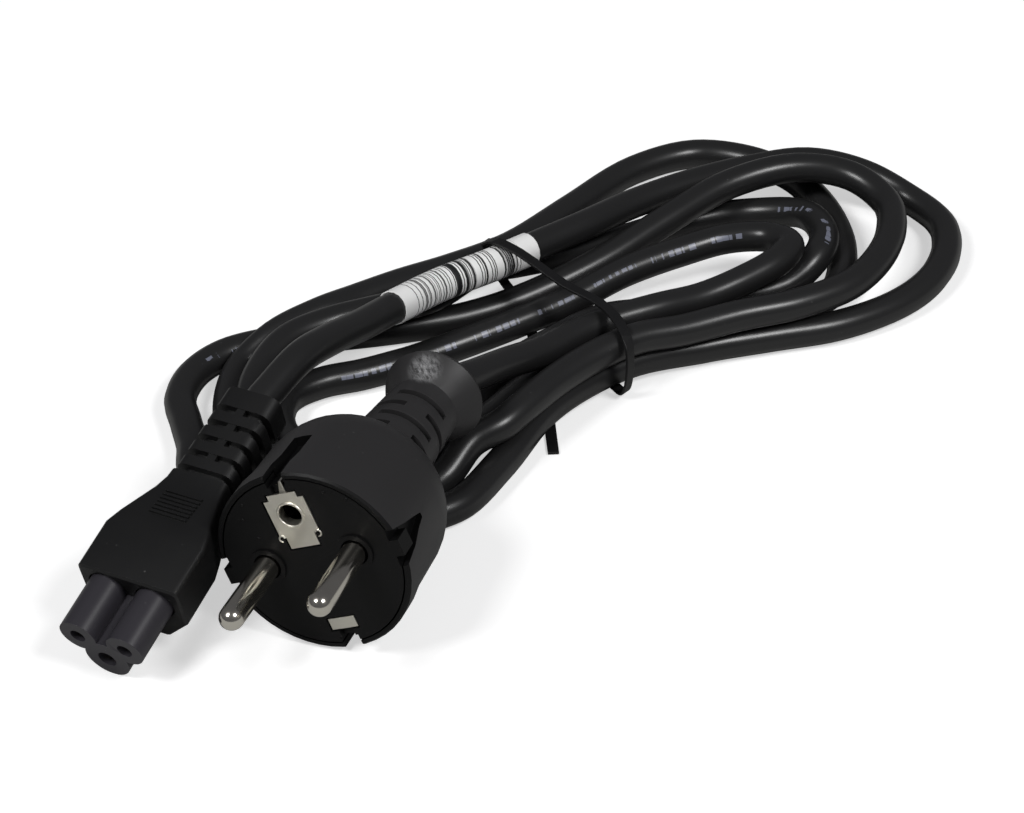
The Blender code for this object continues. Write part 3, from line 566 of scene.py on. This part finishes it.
carrier_bm = joined("plug_bridge")
for x, y in NIBS:
    flat = Matrix.Diagonal((1, 1, NIB_FLATNESS, 1))
    where = plug_axis @ Matrix.Translation(Vector((x, y, 0)) * MM) @ flat
    bmesh.ops.create_icosphere(carrier_bm, subdivisions=2, radius=NIB_RADIUS, matrix=where)
finished(carrier_bm, "carrier", "plug_bridge", 0.12 * MM, [carrier_skin_and_painted_shade])


# Pins: two round brass rods with domed tips, turned and nickel-plated. Each is pressed into the
# carrier and stands out of the plug's face.


def metal(name, colour, roughness, scratch_scale, scratch_depth):
    made = bpy.data.materials.new(name)
    made.use_nodes = True
    tree = made.node_tree
    shader = tree.nodes["Principled BSDF"]
    shader.inputs["Metallic"].default_value = 1.0
    place = linked(tree, "ShaderNodeTexCoord").outputs["Object"]
    look = {"Vector": place, "Scale": 260.0, "Detail": 5.0}
    cloud = linked(tree, "ShaderNodeTexNoise", look).outputs["Fac"]
    gloss = mapped(tree, cloud, 0.3, 0.7, roughness * 0.8, roughness * 1.3)
    tree.links.new(gloss, shader.inputs["Roughness"])
    dull = tuple(0.93 * part for part in colour)
    tree.links.new(mix_colour(tree, cloud, (*dull, 1), (*colour, 1)), shader.inputs["Base Color"])
    look = {"Vector": place, "Scale": scratch_scale, "Detail": 2.0}
    scratches = linked(tree, "ShaderNodeTexNoise", look).outputs["Fac"]
    look = {"Height": scratches, "Strength": scratch_depth, "Distance": 0.02 * MM}
    tree.links.new(linked(tree, "ShaderNodeBump", look).outputs["Normal"], shader.inputs["Normal"])
    return made


nickel = metal("nickel plate", (0.90, 0.86, 0.77), 0.16, 4000.0, 0.04)
for node, name in (("pin_line", "pin_of_line"), ("pin_neutral", "pin_of_neutral")):
    finished(joined(node), name, node, 0.1 * MM, [nickel], angle=50)


# Earth contacts: a stamped plated steel plate with a rolled lip round its socket and two small curled
# ears, and a plain clip opposite. Their springs run down inside the carrier and don't show.

SPRING_CUT = -2.2 * MM
CLIP_EDGE = -14.95 * MM
TAB_CORNER = Vector((-0.2 * MM, 15.02 * MM, 0))
TAB_SLANT = Vector((-3.7, 1.3, 0)).normalized()
EARTH_OFFSET = 10.4 * MM
LIP_RADIUS = 2.5 * MM
LIP_WIRE = 0.26 * MM
EARS = ((3.9, -4.6, -100), (-3.9, -4.6, 10))
EAR_RADIUS = 0.62 * MM
EAR_WIRE = 0.2 * MM
EAR_SWEEP = radians(250)

plated = metal("plated strip", (0.88, 0.85, 0.76), 0.36, 2500.0, 0.12)
turn = plug_axis.to_3x3()
face_out = turn @ Vector((0, 0, 1))
face_up = turn @ Vector((0, 1, 0))


def curl(bm, x, y, radius, wire, start, sweep, steps):
    """A round wire bent about an axis that stands on the plug's face."""
    ring = bmesh.ops.create_circle(
        bm, segments=10, radius=wire,
        matrix=plug_axis @ Matrix.Translation((x, y, -0.1 * MM)) @ Matrix.Rotation(start, 4, "Z")
        @ Matrix.Translation((radius, 0, 0)) @ Matrix.Rotation(pi / 2, 4, "X"),
    )["verts"]
    edges = list(dict.fromkeys(edge for vertex in ring for edge in vertex.link_edges))
    closed = sweep == 2 * pi
    bmesh.ops.spin(
        bm, geom=ring + edges, cent=plug_axis @ Vector((x, y, 0)), axis=face_out,
        angle=sweep, steps=steps, use_merge=closed,
    )
    if not closed:
        bmesh.ops.holes_fill(bm, edges=[edge for edge in bm.edges if edge.is_boundary])


below_face = (plug_axis @ Vector((0, 0, SPRING_CUT)), -face_out)
plate_bm = joined("earth_plate", [below_face])
root = plug_axis @ TAB_CORNER
bmesh.ops.bisect_plane(plate_bm, geom=whole(plate_bm), dist=CUT_DISTANCE, plane_co=root, plane_no=face_up)
tab = [part for part in whole(plate_bm)
       if all((corner.co - root).dot(face_up) > -1e-6 for corner in getattr(part, "verts", [part]))]
cut_off(plate_bm, tab, root, turn @ TAB_SLANT)
curl(plate_bm, 0, EARTH_OFFSET, LIP_RADIUS, LIP_WIRE, 0, 2 * pi, 40)
for x, y, start in EARS:
    curl(plate_bm, x * MM, EARTH_OFFSET + y * MM, EAR_RADIUS, EAR_WIRE, radians(start), EAR_SWEEP, 14)
bmesh.ops.recalc_face_normals(plate_bm, faces=plate_bm.faces)
finished(plate_bm, "earth_stamping", "earth_plate", 0.08 * MM, [plated])
clip_bm = joined("earth_clip", [below_face, (plug_axis @ Vector((0, CLIP_EDGE, 0)), -face_up)])
finished(clip_bm, "earth_spring", "earth_clip", 0.08 * MM, [plated])


# Connector body: a matt black overmoulding of soft PVC, with a broad head and a slotted relief. Fine
# ribs for the thumb are moulded on its taper.

CONNECTOR_TILT = 17.5
HEAD_HALF = 7.1 * MM
TAPER_START = -26.15
TAPER_END = -34.1
TAPER_START_HALF = 6.83
TAPER_END_HALF = 5.27
TAPER_SLOPE = (TAPER_START_HALF - TAPER_END_HALF) / (TAPER_START - TAPER_END)
GRIP_START = -27.4
GRIP_PITCH = 0.98
GRIP_RIBS = 7
GRIP_WIDTH = 7.8
GRIP_HEIGHT = 0.9
GRIP_SINK = 0.05
GRIP_LEAN = -0.2

connector_axis = (
    Matrix.Translation((-39.0 * MM, -10.4 * MM, HEAD_HALF * cos(radians(CONNECTOR_TILT))))
    @ Matrix.Rotation(radians(-46), 4, "Z") @ Matrix.Rotation(radians(90 + CONNECTOR_TILT), 4, "X")
)
connector_skin = plastic(
    "connector skin", (0.0045, 0.0045, 0.0047), 0.46, cloud=0.12, grain_scale=3000.0, grain_depth=0.22,
    dust=0.45,
)
connector_bm = joined("connector_body")
for i in range(GRIP_RIBS):
    z = GRIP_START - GRIP_PITCH * i
    y = TAPER_START_HALF - TAPER_SLOPE * (TAPER_START - z)
    where = (
        connector_axis @ Matrix.Translation(Vector((0, y - GRIP_SINK, z)) * MM)
        @ Matrix.Rotation(GRIP_LEAN, 4, "X")
        @ Matrix.Diagonal((GRIP_WIDTH * MM, GRIP_HEIGHT * MM, 0.5 * GRIP_PITCH * MM, 1))
    )
    bmesh.ops.create_cube(connector_bm, size=1.0, matrix=where)
finished(connector_bm, "connector_moulding", "connector_body", 0.4 * MM, [connector_skin])


# Nose: the three-lobed insert that carries the contacts, moulded in a harder, slightly purple-grey
# plastic. The connector's body is moulded round its back.

nose_skin = plastic(
    "nose skin", (0.031, 0.029, 0.035), 0.36, cloud=0.10, grain_scale=3500.0, grain_depth=0.10, dust=0.3,
    specular=0.4,
)
finished(joined("connector_nose"), "nose_insert", "connector_nose", 0.28 * MM, [nose_skin])


# Contacts: three thin sleeves, each rolled from brass sheet. They sit deep inside the nose's holes.

brass = metal("brass sleeve", (0.60, 0.45, 0.20), 0.35, 2500.0, 0.1)
for name in ("line", "neutral", "earth"):
    node = f"contact_{name}"
    finished(joined(node), f"sleeve_{name}", node, 0.05 * MM, [brass])


# Tie: a flat strip of black plastic with a wire inside. It is passed round the bundle by hand, and
# its tail sticks out below.

tie_skin = plastic(
    "tie skin", (0.007, 0.007, 0.0075), 0.46, cloud=0.12, grain_scale=1800.0, grain_depth=0.1, dust=0.2,
    specular=0.4,
)
tie = finished(joined("twist_tie"), "tie", "twist_tie", 0.12 * MM, [tie_skin])
